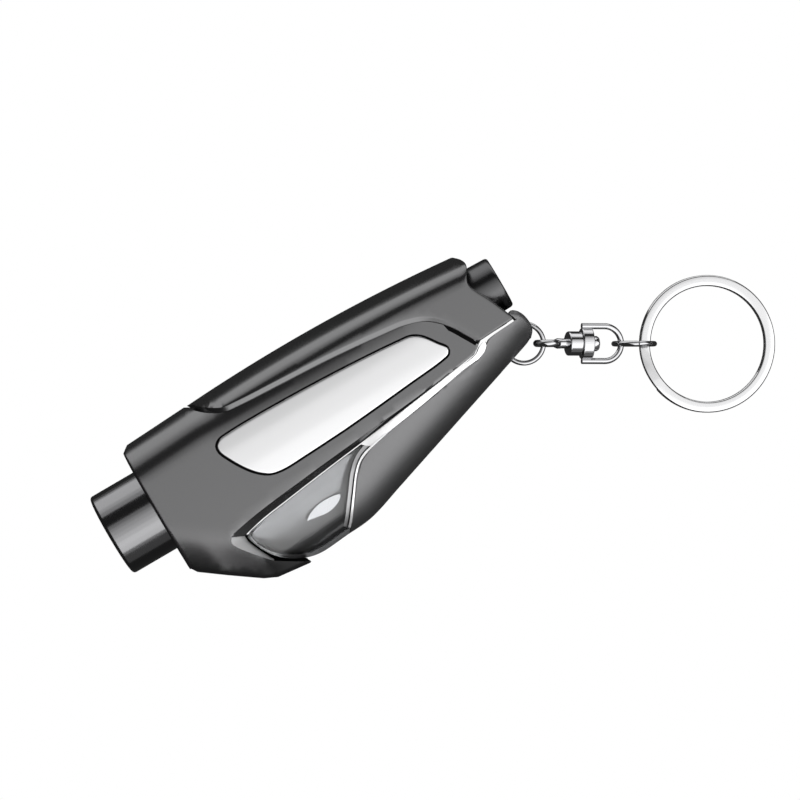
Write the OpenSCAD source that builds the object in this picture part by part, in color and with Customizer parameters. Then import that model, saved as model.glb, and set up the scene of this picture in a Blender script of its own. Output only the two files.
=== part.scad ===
// Keychain flashlight and rescue tool: a lamp, a spring-loaded window punch and a belt cutter
// in a flat casing. A slide-off clip covers the cutter and carries a swivel chain with a split
// key ring.
// The tool lies on its right side. X runs along the punch from its striking end to the
// rear, Y towards the ridge, Z up through the thickness. The origin is the middle of the
// press sleeve's striking end. Units are millimetres.

/* [Casing] */
// Half thickness of the casing at its side panels
panel_half = 8.7; // [8.5:0.05:8.75]
// Half thickness over the side plates and the ridge cover
rest_half = 9.0; // [8.9:0.05:9.2]
// Half thickness of the hook inside the clip
hook_half = 5.8; // [5.4:0.1:5.8]
// Front face of the casing
front_x = 9.5; // [9:0.1:10]
// Height of the ridge's highest point
ridge_top = 14.06; // [13.9:0.02:14.2]
// Wall of the ridge cover
cover_wall = 1.3; // [1.1:0.1:1.4]

/* [Press sleeve] */
// Radius of the press sleeve
sleeve_r = 7.9; // [7.6:0.05:7.9]
// Length of the press sleeve
sleeve_len = 17; // [16:0.5:17]
// How far the sleeve can be pressed in
sleeve_travel = 7.5; // [6:0.5:7.5]

/* [Punch] */
// Outer radius of the barrel tube
barrel_r = 4.5; // [4.3:0.1:4.6]
// Radius of the hammer
hammer_r = 3.65; // [3.5:0.05:3.65]
// Radius of the punch pin
pin_r = 1.5; // [1.2:0.1:1.6]
// How far the punch pin can be pushed back
pin_travel = 6.3; // [5.5:0.1:6.3]
// How far the hammer can be pushed back
hammer_travel = 7.5; // [7:0.1:7.5]

/* [Lamp] */
// Radius of the lamp head
lamp_r = 5.15; // [5:0.05:5.2]
// Height of the lamp's axis above the punch axis
lamp_y = 4.25; // [4.2:0.05:4.5]
// Radius of the button cells
cell_r = 3.95; // [3.4:0.05:3.95]

/* [Clip] */
// Half width of the clip shell
clip_half = 8.5; // [8.3:0.1:8.6]
// Wall of the clip shell and of the guard
clip_wall = 1.1; // [1:0.05:1.15]

/* [Chain] */
// Direction of the chain, degrees from X
chain_angle = -30.3; // [-31:0.1:-30]
// Slope of the swivel down to the surface, degrees
swivel_slope = 17.3; // [17.2:0.05:17.4]
// Slope of the key ring, degrees
key_slope = 7.4; // [7.3:0.05:7.5]
// Outer radius of the key ring
key_r = 12.5; // [12.3:0.1:12.6]

/* [Hidden] */
$fn = 96;

// Colours
black = [0.16, 0.16, 0.17];
dark = [0.1, 0.1, 0.11];
bright = [0.88, 0.88, 0.9];
steel = [0.62, 0.63, 0.65];
clear = [0.85, 0.87, 0.9, 0.45];
board = [0.08, 0.3, 0.16];

// Clearances
fit_gap = 0.05;
part_gap = 0.1;
far = 200;

// Ridge: the top line is a wide arc and the section is a tighter one
ridge_x = 45;
ridge_arc_r = 330;
ridge_sec_r = 10.4;
ridge_sec_y = ridge_top - ridge_sec_r;
core_half = rest_half - cover_wall - part_gap;
plate_depth = 0.55;
plate_gap = 0.25;
plate_arc_r = 300;

// Punch, positions along X
sleeve_shown = 9.4;
sleeve_step = 0.4;
sleeve_wall = 1.9;
sleeve_face = 2.4;
lug_x = 14;
lug_half = 3;
lug_y = 9.5;
bore_end = sleeve_len + sleeve_travel + part_gap;
flange_x = 25;
flange_len = 2;
flange_r = 7;
barrel_x = 12;
barrel_in = hammer_r + fit_gap;
guide_len = 3.5;
tip_x = 1.2;
shoulder_x = barrel_x + guide_len + 0.1;
shoulder_len = 1.5;
bush_x = 27.5;
bush_len = 1.5;
stem_r = 1;
stem_end = 31.4;
hammer_x = 31.8;
hammer_len = 10.5;
hammer_bore = pin_travel + 1.7;
spring_block = 4.7;
plug_x = hammer_x + hammer_len + hammer_travel + spring_block;
plug_len = 3;
barrel_end = plug_x + plug_len;

// Lamp, positions along X
contact_x = 58.2;
contact_len = 0.45;
cell_x = 58.7;
cell_len = 3.6;
cell_count = 3;
lamp_x = 70.2;
lamp_end = 83.5;
lamp_taper_x = 77;
lamp_in = 4.2;
lamp_collar_x = 71;
lamp_collar_len = 1.6;
lamp_collar_r = 6;
board_x = 72;
board_len = 1.2;
lead_r = 0.25;
lead_z = 1.27;
led_x = 73.25;
led_r = 2.5;
led_flange = 1;
led_dome_x = 79.4;
reflector_x = 77.5;
lens_x = 82;
lens_len = 1.1;

// Coils
coil_steps = 18;
coil_sides = 7;

// Screws: place, and distance of the head's seat from the mid-plane
SCREWS = [[15, -13.2, 8.3], [45, 9.6, 4.9], [66.7, -1, 7.75]];
screw_r = 1;
screw_head_r = 1.6;
screw_head = 1.4;
screw_tip = 4.4;

// Clip: its lower side is one half-round keel, straight along a rising line
keel_x = 42;
keel_y = -20.9;
keel_angle = 18;
guard_half = clip_half - clip_wall - part_gap;
guard_end = 75.6;
clip_pin_r = 1;
clip_pin_half = 3.6;
ring_slot_half = 0.6;

// Chain, distances along it from the first ring's centre
ring1 = [81.6, -7.55, 0];
ring1_r = 3.55;
ring1_wire = 0.45;
clip_pin_back = 2;
eye_r = 1.9;
eye_wire = 0.65;
eye_x = 0.71;
collar_x = 4.55;
collar_len = 2.5;
collar_r = 2.2;
bridge_x = 7.15;
bridge_len = 2.05;
bridge_half = 2.8;
shank_r = 0.9;
rivet_x = 9.28;
rivet_len = 1.3;
rivet_r = 1.38;
bail_half = 3.15;
bail_wire = 0.55;
bail_end = 14.86;
link_r = 3.65;
link_wire = 0.5;
link_ahead = [2.41, -0.43];
key_band = 2;
key_thick = 1.6;
key_ahead = 9.8;

// ---------- outlines in the X-Y plane ----------

// Everything below the ridge's top arc
module under_ridge() {
    translate([ridge_x, ridge_top - ridge_arc_r]) circle(r = ridge_arc_r, $fn = 720);
}

// Casing without the hook: collar, panel, chin and the block under the ridge cover
module casing_outline() {
    intersection() {
        under_ridge();
        polygon([
            [front_x, -12], [front_x, 11.6], [front_x + 1.1, 12.7], [22.9, 13.4],
            [23.3, 15], [77.8, 15], [78.3, 10.6], [77, 7.2], [77, 6], [78.8, 2.3], [81, -2.3],
            [80.9, -2.9], [75.2, -3], [74, -3.9], [73, -4.6], [45, -7.6], [19.1, -10.9],
            [18.3, -11.5], [18.6, -12.8], [20, -15], [21.5, -17], [23.3, -18.6], [28.6, -22],
            [28.8, -22.35], [22.3, -21.5], [20, -20.4], [10.3, -13.3]
        ]);
    }
}

// Hook that carries the blade, inside the clip
module hook_outline() {
    polygon([
        [18, -10], [18.3, -14], [23, -19], [26.3, -19.4], [24.6, -17.4], [23.6, -14.6],
        [24, -12.6], [40.6, -11.2], [43.6, -12.6], [44, -15.2], [42.4, -17.4],
        [41.6, -19], [46, -17.4], [74, -8.3], [75, -5.6], [73.8, -4], [45, -6.5]
    ]);
}

// Ridge cover, seen from the side
module cover_outline() {
    intersection() {
        under_ridge();
        polygon([
            [23.6, 15], [23.6, 12.6], [25, 10.8], [28.7, 8.8], [35, 8.4], [50, 7.7], [60, 7.2],
            [65, 6.5], [68.3, 5.3], [71.2, 2.3], [74.2, -2.9], [82.2, -2.7], [80, 2.3],
            [78.1, 6.2], [78.1, 6.8], [79.6, 9.6], [79.7, 10.2], [79.3, 11.2], [78.4, 12.35],
            [77.6, 15]
        ]);
    }
}

// Side plate, a long drop shape
module plate_outline() {
    intersection() {
        translate([34, 5.35 - plate_arc_r]) circle(r = plate_arc_r, $fn = 720);
        polygon([
            [24.7, 3.9], [25.2, 4.8], [26.2, 5.3], [27, 6], [62, 6], [64, 3.8], [65.6, 3.2],
            [68.6, -0.3], [69.1, -1.2], [68.9, -2.1], [68.2, -2.6], [50, -4.4], [35, -5.2],
            [32, -5.05], [29.4, -4.2], [27.2, -1.75], [25.7, 1], [24.8, 3]
        ]);
    }
}

// Cutter blade with its point forward
module blade_outline() {
    polygon([
        [31.8, -15.2], [34.5, -13.9], [40, -13], [54, -11.6], [54, -14.4], [44, -16.4],
        [38.5, -17.1]
    ]);
}

// Whole side of the clip, guard nose included
module guard_outline() {
    polygon([
        [21.3, -12.3], [25, -11.2], [45, -8.85], [60, -6.9], [64, -6.1], [73, -4.95],
        [74.5, -4], [guard_end, -3.6], [guard_end, -8.8], [60, -14.2], [45, -19.1],
        [41, -20.3], [36.8, -21.2], [30, -21.7], [28, -21], [26, -19.7], [24, -18.2],
        [22.4, -15.8]
    ]);
}

// Clip shell behind the clear nose, with its round tail
module shell_outline() {
    difference() {
        union() {
            polygon([
                [82.4, -3.2], [76, -3.7], [75.5, -4.6], [73, -5.85], [60, -7.9], [50, -9.7],
                [47, -10.4], [44.2, -12.5], [41.4, -16.2], [37.3, -21.2], [40, -21.3],
                [42, -20.9], [82.8, -7.65]
            ]);
            translate([80.3, -4.9]) circle(r = 4);
        }
        polygon([[70, -3.6], [82.6, -3.2], [82.4, -1.5], [82, 0], [70, 0]]);
        translate([70, -1.6]) square([20, 4]);
        polygon([[82.8, -7.65], [78, -9.21], [78, -12], [84, -12], [84, -7.26]]);
    }
}

// ---------- shared solids ----------

// Rod along X from x0 to x1
module rod(r, x0, x1) {
    translate([x0, 0, 0]) rotate([0, 90, 0]) cylinder(r = r, h = x1 - x0);
}

// Tube along X
module tube(r_out, r_in, x0, x1) {
    difference() {
        rod(r_out, x0, x1);
        rod(r_in, x0 - 1, x1 + 1);
    }
}

// Cone along X
module cone(r0, r1, x0, x1) {
    translate([x0, 0, 0]) rotate([0, 90, 0]) cylinder(r1 = r0, r2 = r1, h = x1 - x0);
}

// Plate of the given half thickness around the mid-plane
module slab(half) {
    translate([0, 0, -half]) linear_extrude(height = 2 * half) children();
}

// Round-topped bar along X that gives the ridge its section
module ridge_bar(half, r) {
    rotate([0, 90, 0]) translate([0, 0, -10])
        linear_extrude(height = 120) {
            translate([0, ridge_sec_y]) circle(r = r, $fn = 180);
            translate([-half, -40]) square([2 * half, 40 + ridge_sec_y + sqrt(r * r - half * half)]);
        }
}

// Half-round keel bar of the clip
module keel_bar(r) {
    translate([keel_x, keel_y, 0]) rotate([0, 0, keel_angle])
        translate([-60, clip_half, 0]) rotate([0, 90, 0])
            linear_extrude(height = 130) {
                circle(r = r, $fn = 180);
                translate([-r, 0]) square([2 * r, 30]);
            }
}

// Ring of round wire in the X-Y plane
module ring(r, wire) {
    rotate_extrude($fn = 96) translate([r, 0]) circle(r = wire, $fn = 32);
}

// Place along a coil after t turns: the first and the last turn lie close to their neighbours
function coil_x(t, turns, wire, length) =
    let (close = 2.1 * wire, open = (length - 2 * close) / (turns - 2))
    t < 1 ? t * close : t > turns - 1 ? length - (turns - t) * close : close + (t - 1) * open;

// Coil spring along X from x0 to x1, round wire swept along a helix
module spring(r, wire, x0, x1, turns) {
    steps = turns * coil_steps;
    points = [
        for (i = [0 : steps], j = [0 : coil_sides - 1])
            let (a = 360 * i / coil_steps, b = 360 * j / coil_sides, radius = r + wire * cos(b))
            [
                x0 + wire + coil_x(i / coil_steps, turns, wire, x1 - x0 - 2 * wire) + wire * sin(b),
                radius * cos(a), radius * sin(a)
            ]
    ];
    walls = [
        for (i = [0 : steps - 1], j = [0 : coil_sides - 1])
            let (a = i * coil_sides + j, b = i * coil_sides + (j + 1) % coil_sides)
            each [[a, a + coil_sides, b], [b, a + coil_sides, b + coil_sides]]
    ];
    first = [for (j = [0 : coil_sides - 1]) j];
    last = [for (j = [coil_sides - 1 : -1 : 0]) steps * coil_sides + j];
    polyhedron(points = points, faces = concat(walls, [first, last]));
}

// Local frame of the swivel: X along the shank, Y sideways, Z up, origin at the first ring's wire
module on_swivel() {
    translate(ring1) rotate([0, 0, chain_angle]) translate([ring1_r, 0, 0])
        rotate([0, swivel_slope, 0]) children();
}

// Local frame of the second ring: X along the chain, level, origin at its centre
module on_link() {
    x = ring1_r + bail_end * cos(swivel_slope) + link_ahead[0];
    z = -bail_end * sin(swivel_slope) + link_ahead[1];
    translate(ring1) rotate([0, 0, chain_angle]) translate([x, 0, z]) children();
}

// ---------- casing ----------

// One half of the casing, left one for side = 1 and right one for side = -1
module half_casing(side) {
    difference() {
        intersection() {
            union() {
                intersection() {
                    slab(panel_half) difference() {
                        casing_outline();
                        cover_outline();
                        translate([-part_gap, -part_gap]) cover_outline();
                    }
                    ridge_bar(panel_half, ridge_sec_r);
                }
                intersection() {
                    slab(core_half) casing_outline();
                    ridge_bar(core_half, ridge_sec_r - cover_wall - part_gap);
                }
                intersection() {
                    slab(hook_half) hook_outline();
                    keel_bar(hook_half);
                }
            }
            translate([-10, -50, side > 0 ? 0 : -far]) cube([far, 100, far]);
        }
        punch_cavity();
        blade_pocket();
        plate_recess(side);
        core_pockets(side);
        screw_holes();
    }
}

// Room for the sleeve, the barrel, the button cells and the lamp head
module punch_cavity() {
    rod(sleeve_r + fit_gap, 0, bore_end);
    translate([lug_x - fit_gap, -lug_y - part_gap, -lug_half - fit_gap])
        cube([bore_end - lug_x + fit_gap, 2 * (lug_y + part_gap), 2 * (lug_half + fit_gap)]);
    rod(flange_r + fit_gap, bore_end - 1, flange_x + flange_len + fit_gap);
    rod(barrel_r + fit_gap, flange_x, barrel_end + fit_gap);
    translate([0, lamp_y, 0]) {
        rod(cell_r + fit_gap, contact_x - fit_gap, lamp_x);
        rod(lamp_r + fit_gap, lamp_x - part_gap, far);
        rod(lamp_collar_r + fit_gap, lamp_collar_x - fit_gap,
            lamp_collar_x + lamp_collar_len + fit_gap);
    }
}

module blade_pocket() {
    slab(0.35) translate([0, 0.1]) blade_outline();
    slab(0.35) translate([0.2, -0.1]) blade_outline();
}

// Recess for the side plate, as deep as the plate is thick
module plate_recess(side) {
    recess_z = panel_half - plate_depth;
    translate([0, 0, side > 0 ? recess_z : -recess_z - far]) linear_extrude(height = far) {
        plate_outline();
        for (a = [0 : 45 : 315]) translate([plate_gap * cos(a), plate_gap * sin(a)]) plate_outline();
    }
}

// Moulded pockets on the inner side, with ribs between them
module core_pockets(side) {
    low = side > 0 ? 0 : -4.5;
    for (x = [29, 49]) translate([x, 6.4, low]) cube([6.4, 4, 4.5]);
    translate([37, 6.4, low]) cube([4.4, 4, 4.5]);
    translate([62, -10.6, low]) cube([5, 3.4, 4.5]);
}

module screw_holes() {
    for (s = SCREWS) translate([s[0], s[1], 0]) {
        translate([0, 0, -far]) cylinder(r = screw_r + fit_gap, h = far + screw_tip + part_gap);
        translate([0, 0, -far]) cylinder(r = screw_head_r + fit_gap, h = far - s[2] + screw_head);
    }
}

module left_shell() { color(black) half_casing(1); }

module right_shell() { color(black) half_casing(-1); }

module ridge_cover() {
    color(black) difference() {
        intersection() {
            slab(rest_half) cover_outline();
            ridge_bar(rest_half, ridge_sec_r);
        }
        intersection() {
            slab(core_half + part_gap) translate([-5, -5]) square([far, 40]);
            ridge_bar(core_half + part_gap, ridge_sec_r - cover_wall);
        }
    }
}

module side_plate(side) {
    low = panel_half - plate_depth;
    color(bright) translate([0, 0, side > 0 ? low : -rest_half])
        linear_extrude(height = rest_half - low) plate_outline();
}

module left_side_plate() { side_plate(1); }

module right_side_plate() { side_plate(-1); }

module casing_screws() {
    color(steel) for (s = SCREWS) translate([s[0], s[1], -s[2]]) difference() {
        union() {
            cylinder(r = screw_head_r, h = screw_head);
            cylinder(r = screw_r, h = s[2] + screw_tip);
        }
        for (a = [0, 90]) rotate([0, 0, a]) translate([-1, -0.2, -1]) cube([2, 0.4, 1.6]);
    }
}

// ---------- punch ----------

module press_sleeve() {
    color(dark) difference() {
        union() {
            rod(sleeve_r, 0, sleeve_shown);
            rod(sleeve_r - sleeve_step, sleeve_shown, sleeve_len);
            translate([lug_x, -lug_y, -lug_half]) cube([sleeve_len - lug_x, 2 * lug_y, 2 * lug_half]);
        }
        rod(sleeve_r - sleeve_wall, sleeve_face, sleeve_len + 1);
        rod(2.2, -1, sleeve_face + 1);
    }
}

module sleeve_spring() { color(steel) spring(5.3, 0.45, sleeve_face + 0.05, flange_x - 0.05, 9); }

module barrel_tube() {
    color(steel) difference() {
        union() {
            rod(barrel_r, barrel_x, barrel_end);
            rod(flange_r, flange_x, flange_x + flange_len);
        }
        rod(barrel_in, barrel_x + guide_len, barrel_end + 1);
        rod(pin_r + fit_gap, barrel_x - 1, barrel_x + guide_len + 1);
    }
}

module barrel_bush() { color(steel) tube(barrel_in - 0.01, stem_r + 0.3, bush_x, bush_x + bush_len); }

module punch_pin() {
    color(steel) difference() {
        union() {
            rod(pin_r, tip_x + 2.5, shoulder_x + 0.5);
            rod(barrel_in - 0.3, shoulder_x, shoulder_x + shoulder_len);
            rod(stem_r, shoulder_x, stem_end);
        }
        rod(0.8, 0, tip_x + 6.5);
    }
}

module punch_tip() {
    color(bright) {
        cone(0.15, pin_r, tip_x, tip_x + 2.45);
        rod(0.78, tip_x + 2, tip_x + 6.4);
    }
}

module pin_spring() {
    color(steel) spring(1.9, 0.25, shoulder_x + shoulder_len + 0.05, bush_x - 0.05, 6);
}

module hammer() {
    color(steel) difference() {
        rod(hammer_r, hammer_x, hammer_x + hammer_len);
        rod(stem_r + 0.1, hammer_x - 1, hammer_x + hammer_bore);
    }
}

module main_spring() {
    color(steel) spring(2.9, 0.36, hammer_x + hammer_len + 0.05, plug_x - 0.05, 6);
}

module barrel_plug() { color(steel) rod(barrel_in - 0.01, plug_x, barrel_end); }

// ---------- lamp ----------

// Turned head that switches the lamp, open from end to end
module lamp_head() {
    color(dark) translate([0, lamp_y, 0]) difference() {
        union() {
            rod(lamp_r, lamp_x, lamp_taper_x);
            cone(lamp_r, lamp_r - 0.2, lamp_taper_x, lamp_end - 0.3);
            cone(lamp_r - 0.2, lamp_r - 0.5, lamp_end - 0.3, lamp_end);
            rod(lamp_collar_r, lamp_collar_x, lamp_collar_x + lamp_collar_len);
        }
        rod(lamp_in, lamp_x - 1, lamp_end + 1);
    }
}

module lamp_lens() {
    color(clear) translate([0, lamp_y, 0]) rod(lamp_in - 0.01, lens_x, lens_x + lens_len);
}

module lamp_reflector() {
    color(bright) translate([0, lamp_y, 0]) difference() {
        rod(lamp_in - 0.01, reflector_x, lens_x);
        cone(led_r + 0.1, lamp_in - 0.2, reflector_x - 0.01, lens_x + 0.01);
    }
}

module lamp_led() {
    color(clear) translate([0, lamp_y, 0]) {
        rod(led_r + 0.4, led_x, led_x + led_flange);
        rod(led_r, led_x, led_dome_x);
        translate([led_dome_x, 0, 0]) sphere(r = led_r);
        for (s = [-1, 1]) translate([0, 0, s * lead_z]) rod(lead_r, board_x + 0.1, led_x + 0.1);
    }
}

module lamp_board() {
    color(board) translate([0, lamp_y, 0]) difference() {
        rod(lamp_in - 0.01, board_x, board_x + board_len);
        for (s = [-1, 1]) translate([0, 0, s * lead_z]) rod(lead_r + 0.01, board_x - 1, led_x + 1);
    }
}

module contact_spring() {
    cells_end = cell_x + cell_count * cell_len;
    color(steel) translate([0, lamp_y, 0]) spring(1.9, 0.25, cells_end + 0.05, board_x - 0.05, 3);
}

// A row of button cells that touch face to face
module button_cells() {
    color(bright) translate([0, lamp_y, 0]) for (i = [0 : cell_count - 1]) {
        x = cell_x + i * cell_len;
        rod(cell_r, x, x + cell_len - 0.4);
        rod(cell_r - 0.6, x, x + cell_len - 0.01);
    }
}

module cell_contact() {
    color(steel) translate([0, lamp_y, 0]) rod(cell_r - 0.3, contact_x, contact_x + contact_len);
}

// ---------- cutter ----------

module cutter_blade() {
    color(bright) slab(0.3) blade_outline();
}

// ---------- clip ----------

// Clear guard: two cheeks round the hook, joined below by a web that stays open in front
module blade_guard() {
    inner = guard_half - clip_wall;
    color(clear) intersection() {
        slab(guard_half) guard_outline();
        keel_bar(guard_half);
        difference() {
            translate([0, -40, -20]) cube([far, 60, 40]);
            intersection() {
                slab(inner) translate([0, -20.2]) square([far, 30]);
                keel_bar(inner);
            }
            translate([15, -19.6, -inner]) cube([12, 12, 2 * inner]);
        }
    }
}

// One half of the clip's shell, left one for side = 1 and right one for side = -1
module half_clip(side) {
    difference() {
        intersection() {
            slab(clip_half) shell_outline();
            keel_bar(clip_half);
            translate([0, -50, side > 0 ? 0 : -far]) cube([far, 100, far]);
        }
        intersection() {
            slab(guard_half + part_gap) translate([20, -40]) square([guard_end + part_gap - 20, 60]);
            keel_bar(guard_half + part_gap);
        }
        translate(ring1) rotate([0, 0, chain_angle]) translate([-clip_pin_back, 0, 0]) {
            cylinder(r = 6.2, h = 2 * ring_slot_half, center = true);
            cylinder(r = clip_pin_r + 0.01, h = 2 * clip_pin_half + 0.1, center = true);
        }
    }
}

module clip_left_shell() { color(dark) half_clip(1); }

module clip_right_shell() { color(dark) half_clip(-1); }

module clip_pin() {
    color(steel) translate(ring1) rotate([0, 0, chain_angle]) translate([-clip_pin_back, 0, 0])
        cylinder(r = clip_pin_r, h = 2 * clip_pin_half, center = true);
}

// ---------- chain ----------

module clip_ring() { color(bright) translate(ring1) ring(ring1_r, ring1_wire); }

module swivel_eye() {
    color(bright) on_swivel() {
        translate([eye_x, 0, 0]) rotate([90, 0, 0]) ring(eye_r, eye_wire);
        rod(shank_r, eye_x + eye_r - 0.3, rivet_x + 0.3);
    }
}

module swivel_collar() {
    color(bright) on_swivel() tube(collar_r, shank_r + 0.01, collar_x, collar_x + collar_len);
}

module swivel_bridge() {
    color(bright) on_swivel() difference() {
        intersection() {
            translate([bridge_x, -bridge_half, -1.6]) cube([bridge_len, 2 * bridge_half, 3.2]);
            rod(bridge_half + 0.4, bridge_x - 1, bridge_x + bridge_len + 1);
        }
        rod(shank_r + fit_gap, bridge_x - 1, bridge_x + bridge_len + 1);
    }
}

module swivel_bail() {
    leg_end = bail_end - bail_half;
    color(bright) on_swivel() {
        for (s = [-1, 1]) translate([0, s * bail_half, 0]) rod(bail_wire, bridge_x + 0.1, leg_end);
        translate([leg_end, 0, 0]) rotate([0, 0, -90])
            rotate_extrude(angle = 180) translate([bail_half, 0]) circle(r = bail_wire, $fn = 32);
    }
}

module swivel_rivet() {
    color(bright) on_swivel() {
        difference() {
            rod(rivet_r, rivet_x, rivet_x + rivet_len);
            rod(shank_r + 0.01, rivet_x - 1, rivet_x + 0.31);
        }
    }
}

module link_ring() { color(bright) on_link() rotate([90, 0, 0]) ring(link_r, link_wire); }

module key_ring() {
    color(bright) on_link() rotate([0, key_slope, 0]) translate([link_r + key_ahead, 0, 0])
        rotate_extrude($fn = 180) translate([key_r - key_band, -key_thick / 2])
            square([key_band, key_thick]);
}

left_shell();
right_shell();
ridge_cover();
left_side_plate();
right_side_plate();
casing_screws();
press_sleeve();
sleeve_spring();
barrel_tube();
barrel_bush();
punch_pin();
punch_tip();
pin_spring();
hammer();
main_spring();
barrel_plug();
lamp_head();
lamp_lens();
lamp_reflector();
lamp_led();
lamp_board();
contact_spring();
button_cells();
cell_contact();
cutter_blade();
blade_guard();
clip_left_shell();
clip_right_shell();
clip_pin();
clip_ring();
swivel_eye();
swivel_collar();
swivel_bridge();
swivel_bail();
swivel_rivet();
link_ring();
key_ring();
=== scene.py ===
"""Looks of a keychain flashlight and rescue tool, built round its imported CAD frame.

The tool lies on its right side. X runs along the punch from its striking end to the rear, Y
towards the ridge, Z up. Shapes are worked out in millimetres and become metres in add().
"""

import math

import bmesh
import bpy
import numpy as np
from mathutils import Matrix, Vector, geometry


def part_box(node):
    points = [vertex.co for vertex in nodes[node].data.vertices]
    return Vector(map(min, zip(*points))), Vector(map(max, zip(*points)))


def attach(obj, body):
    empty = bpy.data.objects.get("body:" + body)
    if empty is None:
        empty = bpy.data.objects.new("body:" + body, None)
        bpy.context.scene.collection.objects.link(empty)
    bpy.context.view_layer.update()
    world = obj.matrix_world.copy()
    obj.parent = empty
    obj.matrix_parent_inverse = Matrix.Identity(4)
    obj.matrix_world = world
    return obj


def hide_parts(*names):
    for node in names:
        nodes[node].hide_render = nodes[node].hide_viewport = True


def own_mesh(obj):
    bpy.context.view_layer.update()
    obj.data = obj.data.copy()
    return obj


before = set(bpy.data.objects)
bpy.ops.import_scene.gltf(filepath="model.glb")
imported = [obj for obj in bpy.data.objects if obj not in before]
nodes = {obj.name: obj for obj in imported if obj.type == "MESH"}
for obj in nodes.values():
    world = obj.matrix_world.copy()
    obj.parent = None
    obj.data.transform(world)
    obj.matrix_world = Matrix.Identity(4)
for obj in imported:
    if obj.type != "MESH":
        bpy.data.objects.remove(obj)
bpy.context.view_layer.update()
MM = 0.001

# ---------- driving sizes, millimetres ----------

PANEL = 8.7  # half thickness of the casing at its side panels
REST = 9.0  # half thickness over the side plates and the ridge cover
CLIP = 8.5  # half thickness of the clip shell
GUARD = 7.3  # half thickness of the clear guard
BEVEL = 0.9  # width of the bevel along the ridge cover's lower edge
PLATE_BED = 0.53  # how far the side plates' backs lie below the panel
SLEEVE_R = 7.9
SLEEVE_LEN = 17.0
LAMP_R = 5.15
LAMP_Y = 4.25
LAMP_BACK = 83.5
RING1 = Vector((81.6, -7.55, 0))  # middle of the first jump ring
PHOTO_TILT = math.radians(-30.3)  # how the photo shows the tool turned; its chain hangs level there
SWIVEL_SLOPE = math.radians(17.3)
KEY_SLOPE = math.radians(7.4)
SWIVEL_LEN = 14.86  # from the eye's hinge to the inside of the bail
BAIL_R = 3.15
KEY_R = 11.5
# where each screw stands, and how far its head's face is from the middle plane
SCREWS = ((15, -13.2, 6.7), (45, 9.6, 4.9), (66.7, -1, 7.75))

# ---------- flat curves ----------


def smooth(*points, step=0.45):
    """Open curve through the points, rounded at all but its two ends."""
    p = [np.array(q, float) for q in points]
    p = [2 * p[0] - p[1], *p, 2 * p[-1] - p[-2]]
    out = []
    for a, b, c, d in zip(p, p[1:], p[2:], p[3:]):
        t0, t1 = 0.0, np.linalg.norm(b - a) ** 0.5
        t2 = t1 + np.linalg.norm(c - b) ** 0.5
        t3 = t2 + np.linalg.norm(d - c) ** 0.5
        count = max(1, round(float(np.linalg.norm(c - b)) / step))
        for i in range(count):
            t = t1 + (t2 - t1) * i / count
            ab = (t1 - t) / (t1 - t0) * a + (t - t0) / (t1 - t0) * b
            bc = (t2 - t) / (t2 - t1) * b + (t - t1) / (t2 - t1) * c
            cd = (t3 - t) / (t3 - t2) * c + (t - t2) / (t3 - t2) * d
            abc = (t2 - t) / (t2 - t0) * ab + (t - t0) / (t2 - t0) * bc
            bcd = (t3 - t) / (t3 - t1) * bc + (t - t1) / (t3 - t1) * cd
            out.append((t2 - t) / (t2 - t1) * abc + (t - t1) / (t2 - t1) * bcd)
    out.append(p[-2])
    return [(float(q[0]), float(q[1])) for q in out]


def straight(*points, step=0.45):
    """Line through the points with its long stretches cut evenly."""
    out = []
    for a, b in zip(points, points[1:]):
        count = max(1, round(math.dist(a, b) / step))
        out += [
            (a[0] + (b[0] - a[0]) * i / count, a[1] + (b[1] - a[1]) * i / count)
            for i in range(count)
        ]
    return out + [points[-1]]


def closed(*curves):
    """One loop from curves that follow each other."""
    loop = []
    for curve in curves:
        for p in curve:
            if not loop or math.dist(p, loop[-1]) > 0.02:
                loop.append(p)
    if math.dist(loop[0], loop[-1]) < 0.02:
        loop.pop()
    return loop


def distance(points, line):
    """Distance of each point from an open line."""
    p = np.asarray(points, float).reshape(-1, 1, 2)
    a = np.asarray(line[:-1], float)[None]
    d = np.asarray(line[1:], float)[None] - a
    t = np.clip(((p - a) * d).sum(2) / np.maximum((d * d).sum(2), 1e-12), 0, 1)
    return np.linalg.norm(p - a - t[..., None] * d, axis=2).min(1)


def inside(points, loop):
    """True for each point inside the loop."""
    p = np.asarray(points, float)
    a = np.asarray(loop, float)
    b = np.roll(a, -1, 0)
    x, y = p[:, :1], p[:, 1:]
    crosses = (a[:, 1] > y) != (b[:, 1] > y)
    rise = np.where(b[:, 1] == a[:, 1], 1e-12, b[:, 1] - a[:, 1])
    at = (b[:, 0] - a[:, 0]) * (y - a[:, 1]) / rise + a[:, 0]
    return (crosses & (x < at)).sum(1) % 2 == 1


def offset(line, d):
    """Line moved sideways by d, to its left for a positive d."""
    p = np.asarray(line, float)
    t = np.gradient(p, axis=0)
    n = np.stack([-t[:, 1], t[:, 0]], 1)
    n /= np.maximum(np.linalg.norm(n, axis=1), 1e-9)[:, None]
    return [tuple(q) for q in (p + n * d).tolist()]


def top_of(x):
    """Height of the ridge's top line, a wide arc over the whole casing."""
    return 14.06 - 330 + np.sqrt(330**2 - (np.asarray(x, float) - 45) ** 2)


# ---------- meshes ----------


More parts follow.
